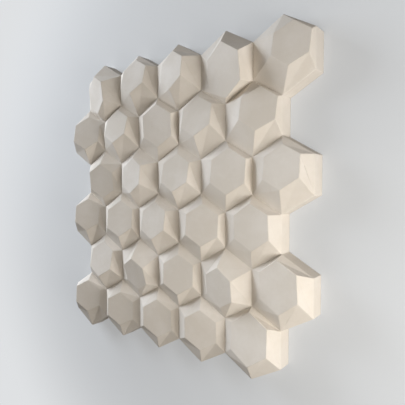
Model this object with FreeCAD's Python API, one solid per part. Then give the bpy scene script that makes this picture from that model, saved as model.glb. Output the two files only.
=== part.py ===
import FreeCAD, Part
import math
import os

# A cast gypsum wall tile. Six staggered rows of six-sided cells share one flat back, and each cell
# rises from the valleys round it to a small flat crown that is leant, moved and raised in its own way.
# The tile lies on its back: +X runs along the rows, +Y up the wall, +Z out of the wall.

# Driving sizes, in millimetres
CELL_WIDTH = 91.0
VALLEY_THICKNESS = 24.5
ROWS = 6
CELLS_IN_ROW = 5

# Crowns, a row of the list for each row of the tile, from the top down and from the left.
# A crown is: how far its middle lies right of and above the middle of the cell, how far it stands
# over the valleys, how wide it is across its flats (all in millimetres), which way it looks
# (a clock hour, seen from the front), how far it leans that way and how far it is turned
# clockwise in its own plane (both in degrees).
CROWNS = [
    [(-8, -4, 15, 59, 8.5, 16.5, -5), (1, 14, 14.5, 53, 0, 15, 0), (-2, 9.5, 16, 52.5, 10, 14, 0),
     (8, -9, 18.5, 67, 8, 18, 1), (17.5, 9, 13.5, 50.5, 1.5, 9, 4)],
    [(8.5, 7.5, 15, 54.5, 2, 20, 0), (2, 12.5, 15.5, 53, 0, 15, 0), (11, 5, 14.5, 60, 5, 5, 1),
     (0.5, 12, 13.5, 54.5, 0, 12, -1), (15.5, 11, 13.5, 53, 1.5, 12, 3)],
    [(5, -5, 14.5, 55, 4.5, 12, 3), (-3, 4, 17, 53.5, 10, 12.5, -1), (4, 7, 14.5, 53.5, 0, 12, 0),
     (12, 7, 13, 58.5, 0.5, 5, 1), (5, 10.5, 14, 53, 11.5, 10, -1.5)],
    [(8, 10.5, 15.5, 52.5, 2.5, 19, 1), (9.5, 7, 14.5, 56, 1.5, 12, -3), (2, 8, 15.5, 54, 11.5, 10.5, -2),
     (11.5, 6, 14, 55.5, 2, 10, 0), (5, 8, 13.5, 57.5, 9, 5, -2.5)],
    [(2.5, 8.5, 14.5, 57.5, 0, 13, -1), (4.5, -8, 16.5, 50.5, 6.5, 16, -1), (9.5, 4, 14, 55.5, 2, 9, -2),
     (-2, -4.5, 15.5, 53, 8, 15, 1), (1.5, 10.5, 14.5, 62.5, 9.5, 12, -5.5)],
    [(7, 11, 15, 53, 3, 18, 3), (8.5, 2.5, 14, 52.5, 3, 15, 1), (8, 3, 13, 55, 3, 11, -1),
     (7.5, 3, 12.5, 54, 3, 10, -1), (2.5, 9.5, 14, 64, 10.5, 13.5, -5)],
]

# Sizes worked out from the driving ones
CORNER_REACH = CELL_WIDTH / math.sqrt(3)
ROW_PITCH = 1.5 * CORNER_REACH
TILE_WIDTH = (CELLS_IN_ROW + 0.5) * CELL_WIDTH
UP = FreeCAD.Vector(0, 0, 1)


def clock_direction(hour):
    """Return the flat direction of a clock hour, with twelve at +Y and three at +X."""
    turn = math.radians(30 * hour)
    return FreeCAD.Vector(math.sin(turn), math.cos(turn), 0)


def hexagon(centre, reach, turn=0.0, lean=FreeCAD.Rotation()):
    """Return six corners, clockwise from the top one, turned in their plane and then leant."""
    hours = [2 * corner + turn / 30 for corner in range(6)]
    return [centre + lean.multVec(clock_direction(hour) * reach) for hour in hours]


def face(points):
    return Part.Face(Part.makePolygon(points + points[:1]))


def cell_centre(row, column):
    """The first row and every second one after it stand half a cell to the right."""
    stagger = 0.5 if row % 2 == 0 else 0.0
    return FreeCAD.Vector(
        (column + 0.5 + stagger) * CELL_WIDTH - TILE_WIDTH / 2,
        ((ROWS - 1) / 2 - row) * ROW_PITCH,
        0,
    )


def cell(row, column):
    """One cell as a closed solid: back, six walls, twelve facets and the crown."""
    right, up, rise, across, hour, lean, turn = CROWNS[row % len(CROWNS)][column % len(CROWNS[0])]
    centre = cell_centre(row, column)
    back = hexagon(centre, CORNER_REACH)
    valley = hexagon(centre + UP * VALLEY_THICKNESS, CORNER_REACH)
    look = clock_direction(hour) * math.sin(math.radians(lean)) + UP * math.cos(math.radians(lean))
    middle = centre + FreeCAD.Vector(right, up, VALLEY_THICKNESS + rise)
    crown = hexagon(middle, across / math.sqrt(3), turn, FreeCAD.Rotation(UP, look))

    faces = [face(back), face(crown)]
    for this in range(6):
        following = (this + 1) % 6
        faces.append(face([back[this], back[following], valley[following], valley[this]]))
        faces.append(face([valley[this], valley[following], crown[this]]))
        faces.append(face([crown[this], valley[following], crown[following]]))
    return Part.Solid(Part.makeShell(faces))


def tile():
    cells = [cell(row, column) for row in range(ROWS) for column in range(CELLS_IN_ROW)]
    return cells[0].multiFuse(cells[1:]).removeSplitter()


os.makedirs("parts", exist_ok=True)
panel = tile()
print("solids", len(panel.Solids), "faces", len(panel.Faces), "valid", panel.isValid(),
      "litres", round(panel.Volume / 1e6, 3), "size", panel.BoundBox)
panel.Solids[0].exportStep("parts/tile.step")
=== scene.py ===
import math

import bmesh
import bpy
from bpy.props import (
    FloatProperty,
    FloatVectorProperty,
    IntProperty,
    PointerProperty,
)
from mathutils import Matrix, Vector


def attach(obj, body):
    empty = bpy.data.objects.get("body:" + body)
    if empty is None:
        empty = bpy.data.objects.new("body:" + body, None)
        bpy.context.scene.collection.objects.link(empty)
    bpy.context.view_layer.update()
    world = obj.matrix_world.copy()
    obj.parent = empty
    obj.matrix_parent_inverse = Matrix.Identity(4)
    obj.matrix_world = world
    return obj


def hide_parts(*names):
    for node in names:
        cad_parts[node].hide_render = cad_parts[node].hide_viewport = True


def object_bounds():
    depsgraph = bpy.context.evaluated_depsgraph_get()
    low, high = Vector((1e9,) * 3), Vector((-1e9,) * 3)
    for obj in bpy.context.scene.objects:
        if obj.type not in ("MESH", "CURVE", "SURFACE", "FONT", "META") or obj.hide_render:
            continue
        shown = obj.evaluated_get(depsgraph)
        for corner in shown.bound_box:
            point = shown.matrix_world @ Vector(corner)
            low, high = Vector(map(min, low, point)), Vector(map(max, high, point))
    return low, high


bl_info = {
    "name": "Relief Wall Tile",
    "version": (1, 0, 0),
    "blender": (4, 5, 0),
    "location": "3D View > Sidebar > Wall Tile",
    "description": "Finishes a cast plaster wall tile of leaning hexagon cells and sets up its studio",
    "category": "Object",
}

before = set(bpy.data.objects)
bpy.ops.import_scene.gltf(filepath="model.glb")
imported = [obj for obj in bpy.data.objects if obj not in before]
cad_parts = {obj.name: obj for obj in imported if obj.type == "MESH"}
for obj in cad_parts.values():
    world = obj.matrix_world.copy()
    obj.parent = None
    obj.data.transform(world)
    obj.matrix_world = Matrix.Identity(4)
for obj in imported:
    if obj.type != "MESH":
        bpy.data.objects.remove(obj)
cad_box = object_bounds()

TILE_NODE = "tile"
TILE_BODY = "root"

# The photograph's camera, found from the corners where the cells meet. It looks at AIM from PLACE,
# with the top of the tile up in the picture.
CAMERA_PLACE = Vector((0.4475, 0.0248, 0.5094))
CAMERA_AIM = Vector((0.0712, 0.0001, 0.0245))
CAMERA_LENS = 35.6
SENSOR_WIDTH = 36.0

# Corners of the solid closer than SAME_POINT are one corner, and faces that turn less than SAME_PLANE
# where they meet are one face. Edges that turn more than SOFTENED_TURN are rounded, in so many steps.
SAME_POINT = 1e-6
SAME_PLANE = math.radians(0.05)
SOFTENED_TURN = math.radians(2.0)
ROUNDING_STEPS = 2

# Faces that look down more steeply than this are the trowelled back, which has no bubbles. A bubble's
# middle stays above the face by a share of its radius, and pits keep some radii apart.
BACK_SLOPE = -0.5
BUBBLE_LIFT = 0.35
PIT_SPACING = 6
BUBBLE_ROUNDNESS = 2

# The plaster's skin: how it bends light, how rough it is where it dried first and last, how deep its
# tooth and its waves are in metres, how much of it the finer clouding may cover, and how much of it the
# shade painted into the valleys may cover.
PLASTER_IOR = 1.52
DRY_ROUGHNESS = 0.78
DAMP_ROUGHNESS = 0.92
TOOTH_DEPTH = 0.0001
WAVE_DEPTH = 0.0004
FLECK_COVER = 0.35
PAINTED_SHADE_COVER = 0.5

# The floor: half its width in metres, and the paint on its board.
FLOOR_REACH = 3.0
PAINT_ROUGHNESS = 0.9
PAINT_IOR = 1.45


def linear(hex_colour):
    """Turn an sRGB hex colour into the three linear values that shaders and lamps use."""
    text = hex_colour.lstrip("#")
    shades = [int(text[i:i + 2], 16) / 255 for i in (0, 2, 4)]
    return tuple(s / 12.92 if s <= 0.04045 else ((s + 0.055) / 1.055) ** 2.4 for s in shades)


def add_node(tree, kind, settings=None, links=None):
    """Add one node. Settings that name an input socket set its value, and others set the node itself."""
    node = tree.nodes.new(kind)
    for name, value in (settings or {}).items():
        if isinstance(name, int) or name in node.inputs:
            node.inputs[name].default_value = value
        else:
            setattr(node, name, value)
    for name, source in (links or {}).items():
        tree.links.new(source, node.inputs[name])
    return node


def new_material(name):
    """An empty node material with its output, and the tree to build in."""
    material = bpy.data.materials.new(name)
    material.use_nodes = True
    tree = material.node_tree
    tree.nodes.clear()
    return material, tree, tree.nodes.new("ShaderNodeOutputMaterial")


def cast_gypsum(look):
    """Cast gypsum plaster, left uncoated.

    It sets against a smooth mould, so it is flat and quite matt with a faint tooth. It dries unevenly, so
    its warm white drifts a little over some centimetres. Shade is painted into the valleys as a darker
    colour.
    """
    material, tree, output = new_material("cast gypsum plaster")
    place = add_node(tree, "ShaderNodeTexCoord").outputs["Object"]

    # Drying marks drift over a few centimetres, and a finer clouding over some millimetres.
    drift = add_node(tree, "ShaderNodeTexNoise",
                     {"Scale": 1 / look.cloud_span, "Detail": 3.0, "Roughness": 0.55}, {"Vector": place})
    drift = add_node(tree, "ShaderNodeMapRange",
                     {"From Min": 0.35, "From Max": 0.65}, {"Value": drift.outputs["Fac"]})
    fleck = add_node(tree, "ShaderNodeTexNoise",
                     {"Scale": 1 / look.fleck_span, "Detail": 4.0, "Roughness": 0.6}, {"Vector": place})
    fleck = add_node(tree, "ShaderNodeMapRange",
                     {"From Min": 0.3, "From Max": 0.7, "To Min": 0.0, "To Max": FLECK_COVER},
                     {"Value": fleck.outputs["Fac"]})
    clouding = add_node(tree, "ShaderNodeMath", {"operation": "ADD", "use_clamp": True},
                        {0: drift.outputs["Result"], 1: fleck.outputs["Result"]})
    body = add_node(tree, "ShaderNodeMix",
                    {"data_type": "RGBA", 6: (*look.dry_colour, 1), 7: (*look.damp_colour, 1)},
                    {0: clouding.outputs["Value"]})

    # Painted shade: where ambient occlusion finds facets close together in the valleys, the colour mixes
    # towards a darker grey.
    painted_shade_mask = add_node(tree, "ShaderNodeAmbientOcclusion", {"samples": 8, "Distance": look.painted_shade_reach})
    painted_shade_mask = add_node(tree, "ShaderNodeMapRange",
                       {"From Min": 0.35, "From Max": 0.8, "To Min": PAINTED_SHADE_COVER, "To Max": 0.0},
                       {"Value": painted_shade_mask.outputs["AO"]})
    colour = add_node(tree, "ShaderNodeMix", {"data_type": "RGBA", 7: (*look.painted_shade_colour, 1)},
                      {0: painted_shade_mask.outputs["Result"], 6: body.outputs[2]})

    # The skin of the cast. Its tooth is really about 0.1 mm wide and is drawn at 1.5 mm so that it shows.
    tooth = add_node(tree, "ShaderNodeTexNoise",
                     {"Scale": 1 / look.tooth_span, "Detail": 2.0}, {"Vector": place})
    wave = add_node(tree, "ShaderNodeTexNoise",
                    {"Scale": 1 / look.wave_span, "Detail": 1.0}, {"Vector": place})
    tooth_bump = add_node(tree, "ShaderNodeBump", {"Strength": 0.25, "Distance": TOOTH_DEPTH},
                          {"Height": tooth.outputs["Fac"]})
    skin = add_node(tree, "ShaderNodeBump", {"Strength": 0.5, "Distance": WAVE_DEPTH},
                    {"Height": wave.outputs["Fac"], "Normal": tooth_bump.outputs["Normal"]})
    matt = add_node(tree, "ShaderNodeMapRange", {"To Min": DRY_ROUGHNESS, "To Max": DAMP_ROUGHNESS},
                    {"Value": clouding.outputs["Value"]})

    shader = add_node(tree, "ShaderNodeBsdfPrincipled", {"IOR": PLASTER_IOR},
                      {"Base Color": colour.outputs[2], "Roughness": matt.outputs["Result"],
                       "Normal": skin.outputs["Normal"]})
    tree.links.new(shader.outputs["BSDF"], output.inputs["Surface"])
    return material


def bubble_pit_tree():
    """Geometry nodes that sink the small pits that air bubbles leave in a cast face."""
    tree = bpy.data.node_groups.new("air bubble pits", "GeometryNodeTree")
    face = tree.interface
    sockets = {"Geometry": "NodeSocketGeometry", "Pits per Square Metre": "NodeSocketFloat",
               "Clear Distance": "NodeSocketFloat", "Smallest Radius": "NodeSocketFloat",
               "Largest Radius": "NodeSocketFloat", "Seed": "NodeSocketInt", "Plaster": "NodeSocketMaterial"}
    for name, kind in sockets.items():
        face.new_socket(name, in_out="INPUT", socket_type=kind)
    face.new_socket("Geometry", in_out="OUTPUT", socket_type="NodeSocketGeometry")

    given = tree.nodes.new("NodeGroupInput").outputs
    # The back is trowelled flat, so only faces that look up or sideways have pits.
    normal = add_node(tree, "GeometryNodeInputNormal")
    upright = add_node(tree, "ShaderNodeSeparateXYZ", links={0: normal.outputs["Normal"]})
    cast_side = add_node(tree, "ShaderNodeMath", {"operation": "GREATER_THAN", 1: BACK_SLOPE},
                         {0: upright.outputs["Z"]})
    points = add_node(tree, "GeometryNodeDistributePointsOnFaces", {"distribute_method": "POISSON"},
                      {"Mesh": given["Geometry"], "Selection": cast_side.outputs[0],
                       "Distance Min": given["Clear Distance"],
                       "Density Max": given["Pits per Square Metre"], "Seed": given["Seed"]})
    radius = add_node(tree, "FunctionNodeRandomValue", {"data_type": "FLOAT"},
                      {2: given["Smallest Radius"], 3: given["Largest Radius"], "Seed": given["Seed"]})
    # The bubble's middle stays above the face, so that the pit is shallow.
    lift = add_node(tree, "ShaderNodeMath", {"operation": "MULTIPLY", 1: BUBBLE_LIFT},
                    {0: radius.outputs[1]})
    above = add_node(tree, "ShaderNodeVectorMath", {"operation": "SCALE"},
                     {0: points.outputs["Normal"], "Scale": lift.outputs[0]})
    raised = add_node(tree, "GeometryNodeSetPosition",
                      links={"Geometry": points.outputs["Points"], "Offset": above.outputs[0]})
    bubble = add_node(tree, "GeometryNodeMeshIcoSphere", {"Radius": 1.0, "Subdivisions": BUBBLE_ROUNDNESS})
    round_bubble = add_node(tree, "GeometryNodeSetShadeSmooth", links={"Geometry": bubble.outputs["Mesh"]})
    bubbles = add_node(tree, "GeometryNodeInstanceOnPoints",
                       links={"Points": raised.outputs["Geometry"],
                              "Instance": round_bubble.outputs["Geometry"], "Scale": radius.outputs[1]})
    real_bubbles = add_node(tree, "GeometryNodeRealizeInstances",
                            links={"Geometry": bubbles.outputs["Instances"]})
    # The exact cutter leaves a closed mesh, and the merge takes out its slivers.
    pitted = add_node(tree, "GeometryNodeMeshBoolean", {"operation": "DIFFERENCE", "solver": "EXACT"},
                      {"Mesh 1": given["Geometry"], "Mesh 2": real_bubbles.outputs["Geometry"]})
    merged = add_node(tree, "GeometryNodeMergeByDistance", {"Distance": SAME_POINT},
                      {"Geometry": pitted.outputs["Mesh"]})
    whole = add_node(tree, "GeometryNodeRealizeInstances", links={"Geometry": merged.outputs["Geometry"]})
    dressed = add_node(tree, "GeometryNodeSetMaterial",
                       links={"Geometry": whole.outputs["Geometry"], "Material": given["Plaster"]})
    out = tree.nodes.new("NodeGroupOutput")
    tree.links.new(dressed.outputs["Geometry"], out.inputs["Geometry"])
    return tree


def softened_copy(node, radius):
    """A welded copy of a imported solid's mesh, with every arris and valley rounded."""
    form = bmesh.new()
    form.from_mesh(node.data)
    bmesh.ops.remove_doubles(form, verts=form.verts, dist=SAME_POINT)
    bmesh.ops.dissolve_limit(form, angle_limit=SAME_PLANE, verts=form.verts, edges=form.edges)
    turning = [edge for edge in form.edges
               if edge.is_manifold and edge.calc_face_angle() > SOFTENED_TURN]
    if not turning:
        raise RuntimeError("the packed tile has no arris to soften")
    rounded = bmesh.ops.bevel(form, geom=turning, offset=radius, offset_type="OFFSET",
                              segments=ROUNDING_STEPS, profile=0.5, affect="EDGES", clamp_overlap=True)
    for face in form.faces:
        face.smooth = False
    for face in rounded["faces"]:
        face.smooth = True
    mesh = bpy.data.meshes.new("cast_tile")
    form.to_mesh(mesh)
    form.free()
    return mesh


def baked(piece):
    """Turn a piece's evaluated modifiers into its own plain mesh and remove them."""
    bpy.context.view_layer.update()
    graph = bpy.context.evaluated_depsgraph_get()
    mesh = bpy.data.meshes.new_from_object(piece.evaluated_get(graph))
    piece.modifiers.clear()
    piece.data = mesh


def kept_inside(mesh, box):
    """Bring back the few corners that rounding has put some micrometres outside a box."""
    lowest, highest = box
    for vert in mesh.vertices:
        vert.co = [min(max(at, low), high) for at, low, high in zip(vert.co, lowest, highest)]


class WallTileSettings(bpy.types.PropertyGroup):
    arris_radius: FloatProperty(
        name="Arris Radius", description="How far the cast arrises and valleys are rounded",
        default=0.0006, min=0.0001, max=0.003, precision=5, subtype="DISTANCE", unit="LENGTH")
    dry_colour: FloatVectorProperty(
        name="Dry Plaster", description="Colour of the plaster where it dried first",
        default=linear("#F1E9DF"), min=0, max=1, size=3, subtype="COLOR")
    damp_colour: FloatVectorProperty(
        name="Late Plaster", description="Colour of the plaster where it dried last",
        default=linear("#EAE1D5"), min=0, max=1, size=3, subtype="COLOR")
    # Painted shade: the darker colour mixed into the valleys, and how far from them it reaches.
    painted_shade_colour: FloatVectorProperty(
        name="Painted Valley Shade", description="Colour of the shade painted into the valleys",
        default=linear("#B9B1A5"), min=0, max=1, size=3, subtype="COLOR")
    painted_shade_reach: FloatProperty(
        name="Painted Shade Reach", description="How far from a valley the painted shade reaches",
        default=0.006, min=0, max=0.03, precision=4, subtype="DISTANCE", unit="LENGTH")
    cloud_span: FloatProperty(
        name="Cloud Span", description="Width of the drying marks",
        default=0.05, min=0.005, max=0.5, precision=3, subtype="DISTANCE", unit="LENGTH")
    fleck_span: FloatProperty(
        name="Fleck Span", description="Width of the finer clouding",
        default=0.006, min=0.001, max=0.05, precision=4, subtype="DISTANCE", unit="LENGTH")
    tooth_span: FloatProperty(
        name="Tooth Span", description="Width of the gypsum tooth as it is drawn",
        default=0.0015, min=0.0001, max=0.01, precision=4, subtype="DISTANCE", unit="LENGTH")
    wave_span: FloatProperty(
        name="Wave Span", description="Width of the mould's slight waves",
        default=0.03, min=0.005, max=0.2, precision=3, subtype="DISTANCE", unit="LENGTH")
    pit_density: FloatProperty(
        name="Pits per Square Metre", description="How many bubble pits the cast faces have",
        default=450.0, min=0, max=5000)
    pit_smallest: FloatProperty(
        name="Smallest Pit", description="Radius of the smallest bubble",
        default=0.0003, min=0.0001, max=0.002, precision=5, subtype="DISTANCE", unit="LENGTH")
    pit_largest: FloatProperty(
        name="Largest Pit", description="Radius of the largest bubble",
        default=0.0007, min=0.0001, max=0.003, precision=5, subtype="DISTANCE", unit="LENGTH")
    pit_seed: IntProperty(name="Pit Seed", description="Changes where the pits fall", default=7, min=0)


class WallTileStageSettings(bpy.types.PropertyGroup):
    floor_colour: FloatVectorProperty(
        name="Floor", description="Colour of the pale floor that the tile lies on",
        default=linear("#DFE1E3"), min=0, max=1, size=3, subtype="COLOR")
    bounce_colour: FloatVectorProperty(
        name="Floor Bounce", description="Colour of the light that the floor throws back at the tile",
        default=linear("#8A8A8A"), min=0, max=1, size=3, subtype="COLOR")
    floor_evenness: FloatProperty(
        name="Floor Evenness", description="How much of the floor's paleness is free of light and shadow",
        default=0.4, min=0, max=1, subtype="FACTOR")
    fade_start: FloatProperty(
        name="Fade Start", description="How far from the tile's middle the floor starts to fade",
        default=0.3, min=0, max=3, subtype="DISTANCE", unit="LENGTH")
    fade_end: FloatProperty(
        name="Fade End", description="How far from the tile's middle the floor is one with the backdrop",
        default=0.75, min=0, max=3, subtype="DISTANCE", unit="LENGTH")
    window_power: FloatProperty(
        name="Cool Window", description="Power of the large cool softbox low on the left",
        default=30.5, min=0, max=500, unit="POWER")
    side_power: FloatProperty(
        name="Warm Side", description="Power of the warm softbox low on the right",
        default=4.7, min=0, max=500, unit="POWER")
    near_power: FloatProperty(
        name="Near Panel", description="Power of the small softbox close to the right edge",
        default=1.2, min=0, max=500, unit="POWER")
    sky_level: FloatProperty(
        name="Room Light", description="Strength of the even light of the room",
        default=0.1, min=0, max=3)


class WALLTILE_OT_cast_tile(bpy.types.Operator):
    """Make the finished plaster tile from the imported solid"""

    bl_idname = "wall_tile.cast_tile"
    bl_label = "Cast Tile"

    def execute(self, context):
        look = context.scene.wall_tile
        plaster = cast_gypsum(look)
        mesh = softened_copy(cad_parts[TILE_NODE], look.arris_radius)
        tile = bpy.data.objects.new("cast_tile", mesh)
        context.scene.collection.objects.link(tile)

        tree = bubble_pit_tree()
        pits = tile.modifiers.new("air bubble pits", "NODES")
        pits.node_group = tree
        values = {"Pits per Square Metre": look.pit_density,
                  "Clear Distance": PIT_SPACING * look.pit_largest,
                  "Smallest Radius": look.pit_smallest, "Largest Radius": look.pit_largest,
                  "Seed": look.pit_seed, "Plaster": plaster}
        for item in tree.interface.items_tree:
            if item.in_out == "INPUT" and item.name in values:
                pits[item.identifier] = values[item.name]
        baked(tile)
        if not tile.data.polygons:
            raise RuntimeError("the tile came out empty")
        kept_inside(tile.data, cad_box)

        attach(tile, TILE_BODY)
        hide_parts(TILE_NODE)
        return {"FINISHED"}


def looked_at(tree):
    """A socket that is one for rays that show the background: from the camera, a gloss or through glass."""
    path = add_node(tree, "ShaderNodeLightPath")
    gloss = add_node(tree, "ShaderNodeMath", {"operation": "MAXIMUM"},
                     {0: path.outputs["Is Camera Ray"], 1: path.outputs["Is Glossy Ray"]})
    glass = add_node(tree, "ShaderNodeMath", {"operation": "MAXIMUM"},
                     {0: gloss.outputs["Value"], 1: path.outputs["Is Transmission Ray"]})
    return glass.outputs["Value"]


def add_softbox(name, place, aim, size, power, colour):
    """An area lamp at a place, turned to a point."""
    lamp = bpy.data.lights.new(name, "AREA")
    lamp.shape = "RECTANGLE"
    lamp.size, lamp.size_y = size
    lamp.energy = power
    lamp.color = linear(colour)
    softbox = bpy.data.objects.new(name, lamp)
    softbox.location = place
    softbox.rotation_euler = (Vector(aim) - Vector(place)).to_track_quat("-Z", "Y").to_euler()
    softbox.visible_camera = False
    bpy.context.scene.collection.objects.link(softbox)


class WALLTILE_OT_stage(bpy.types.Operator):
    """Set up the pale floor, the soft studio light and the photograph's camera"""

    bl_idname = "wall_tile.stage"
    bl_label = "Set Stage"

    def execute(self, context):
        look = context.scene.wall_tile_stage
        self.lay_floor(context, look)
        self.hang_lights(context, look)
        self.place_camera(context)
        context.scene.view_settings.view_transform = "Standard"
        return {"FINISHED"}

    def lay_floor(self, context, look):
        form = bmesh.new()
        bmesh.ops.create_grid(form, x_segments=1, y_segments=1, size=FLOOR_REACH)
        mesh = bpy.data.meshes.new("floor")
        form.to_mesh(mesh)
        form.free()
        material, tree, output = new_material("matt painted board")
        board = add_node(tree, "ShaderNodeBsdfPrincipled",
                         {"Base Color": (*look.floor_colour, 1), "Roughness": PAINT_ROUGHNESS,
                          "IOR": PAINT_IOR})
        glow = add_node(tree, "ShaderNodeEmission", {"Color": (*look.floor_colour, 1), "Strength": 1.0})
        # Round the tile the board takes light and shadow, and further off it fades into the backdrop.
        place = add_node(tree, "ShaderNodeTexCoord").outputs["Object"]
        reach = add_node(tree, "ShaderNodeVectorMath", {"operation": "LENGTH"}, {0: place})
        fade = add_node(tree, "ShaderNodeMapRange",
                        {"interpolation_type": "SMOOTHSTEP", "From Min": look.fade_start,
                         "From Max": look.fade_end, "To Min": look.floor_evenness, "To Max": 1.0},
                        {"Value": reach.outputs["Value"]})
        pale = add_node(tree, "ShaderNodeMixShader",
                        links={0: fade.outputs["Result"], 1: board.outputs["BSDF"],
                               2: glow.outputs["Emission"]})
        # The board throws less light back at the tile's walls than its pale face would.
        dim = add_node(tree, "ShaderNodeBsdfDiffuse", {"Color": (*look.bounce_colour, 1)})
        seen = add_node(tree, "ShaderNodeMixShader",
                        links={0: looked_at(tree), 1: dim.outputs["BSDF"], 2: pale.outputs["Shader"]})
        tree.links.new(seen.outputs["Shader"], output.inputs["Surface"])
        mesh.materials.append(material)
        floor = bpy.data.objects.new("floor", mesh)
        context.scene.collection.objects.link(floor)

    def hang_lights(self, context, look):
        middle = (0, 0, 0.03)
        add_softbox("cool window", (-1.4, 0.8, 0.5), middle, (0.9, 0.9), look.window_power, "#EDF5FF")
        add_softbox("warm side", (1.0, -0.2, 0.25), middle, (0.5, 0.4), look.side_power, "#FFFEFC")
        add_softbox("near panel", (0.5, -0.15, 0.42), middle, (0.4, 0.4), look.near_power, "#FFFAF0")
        world = bpy.data.worlds.new("room light")
        world.use_nodes = True
        tree = world.node_tree
        room = tree.nodes["Background"]
        room.inputs["Color"].default_value = (*linear("#FFF6EC"), 1)
        room.inputs["Strength"].default_value = look.sky_level
        backdrop = add_node(tree, "ShaderNodeBackground",
                            {"Color": (*look.floor_colour, 1), "Strength": 1.0})
        seen = add_node(tree, "ShaderNodeMixShader",
                        links={0: looked_at(tree), 1: room.outputs["Background"],
                               2: backdrop.outputs["Background"]})
        tree.links.new(seen.outputs["Shader"], tree.nodes["World Output"].inputs["Surface"])
        context.scene.world = world

    def place_camera(self, context):
        lens = bpy.data.cameras.new("photograph")
        lens.lens = CAMERA_LENS
        lens.sensor_width = SENSOR_WIDTH
        lens.clip_start = 0.01
        forward = (CAMERA_AIM - CAMERA_PLACE).normalized()
        right = forward.cross(Vector((0, 1, 0))).normalized()
        up = right.cross(forward)
        turn = Matrix((right, up, -forward)).transposed().to_4x4()
        camera = bpy.data.objects.new("photograph", lens)
        camera.matrix_world = Matrix.Translation(CAMERA_PLACE) @ turn
        context.scene.collection.objects.link(camera)
        context.scene.camera = camera


class WALLTILE_PT_panel(bpy.types.Panel):
    """Sizes, colours and steps of the wall tile"""

    bl_idname = "WALLTILE_PT_panel"
    bl_label = "Wall Tile"
    bl_space_type = "VIEW_3D"
    bl_region_type = "UI"
    bl_category = "Wall Tile"

    def draw(self, context):
        for group, step in (("wall_tile", WALLTILE_OT_cast_tile), ("wall_tile_stage", WALLTILE_OT_stage)):
            settings = getattr(context.scene, group)
            box = self.layout.box()
            for name in settings.__annotations__:
                box.prop(settings, name)
            box.operator(step.bl_idname)


CLASSES = (WallTileSettings, WallTileStageSettings, WALLTILE_OT_cast_tile, WALLTILE_OT_stage,
           WALLTILE_PT_panel)


def register():
    for each in CLASSES:
        bpy.utils.register_class(each)
    bpy.types.Scene.wall_tile = PointerProperty(type=WallTileSettings)
    bpy.types.Scene.wall_tile_stage = PointerProperty(type=WallTileStageSettings)


def unregister():
    del bpy.types.Scene.wall_tile_stage
    del bpy.types.Scene.wall_tile
    for each in reversed(CLASSES):
        bpy.utils.unregister_class(each)


def main():
    register()
    bpy.ops.wall_tile.cast_tile()
    bpy.ops.wall_tile.stage()


if __name__ == "__main__":
    main()
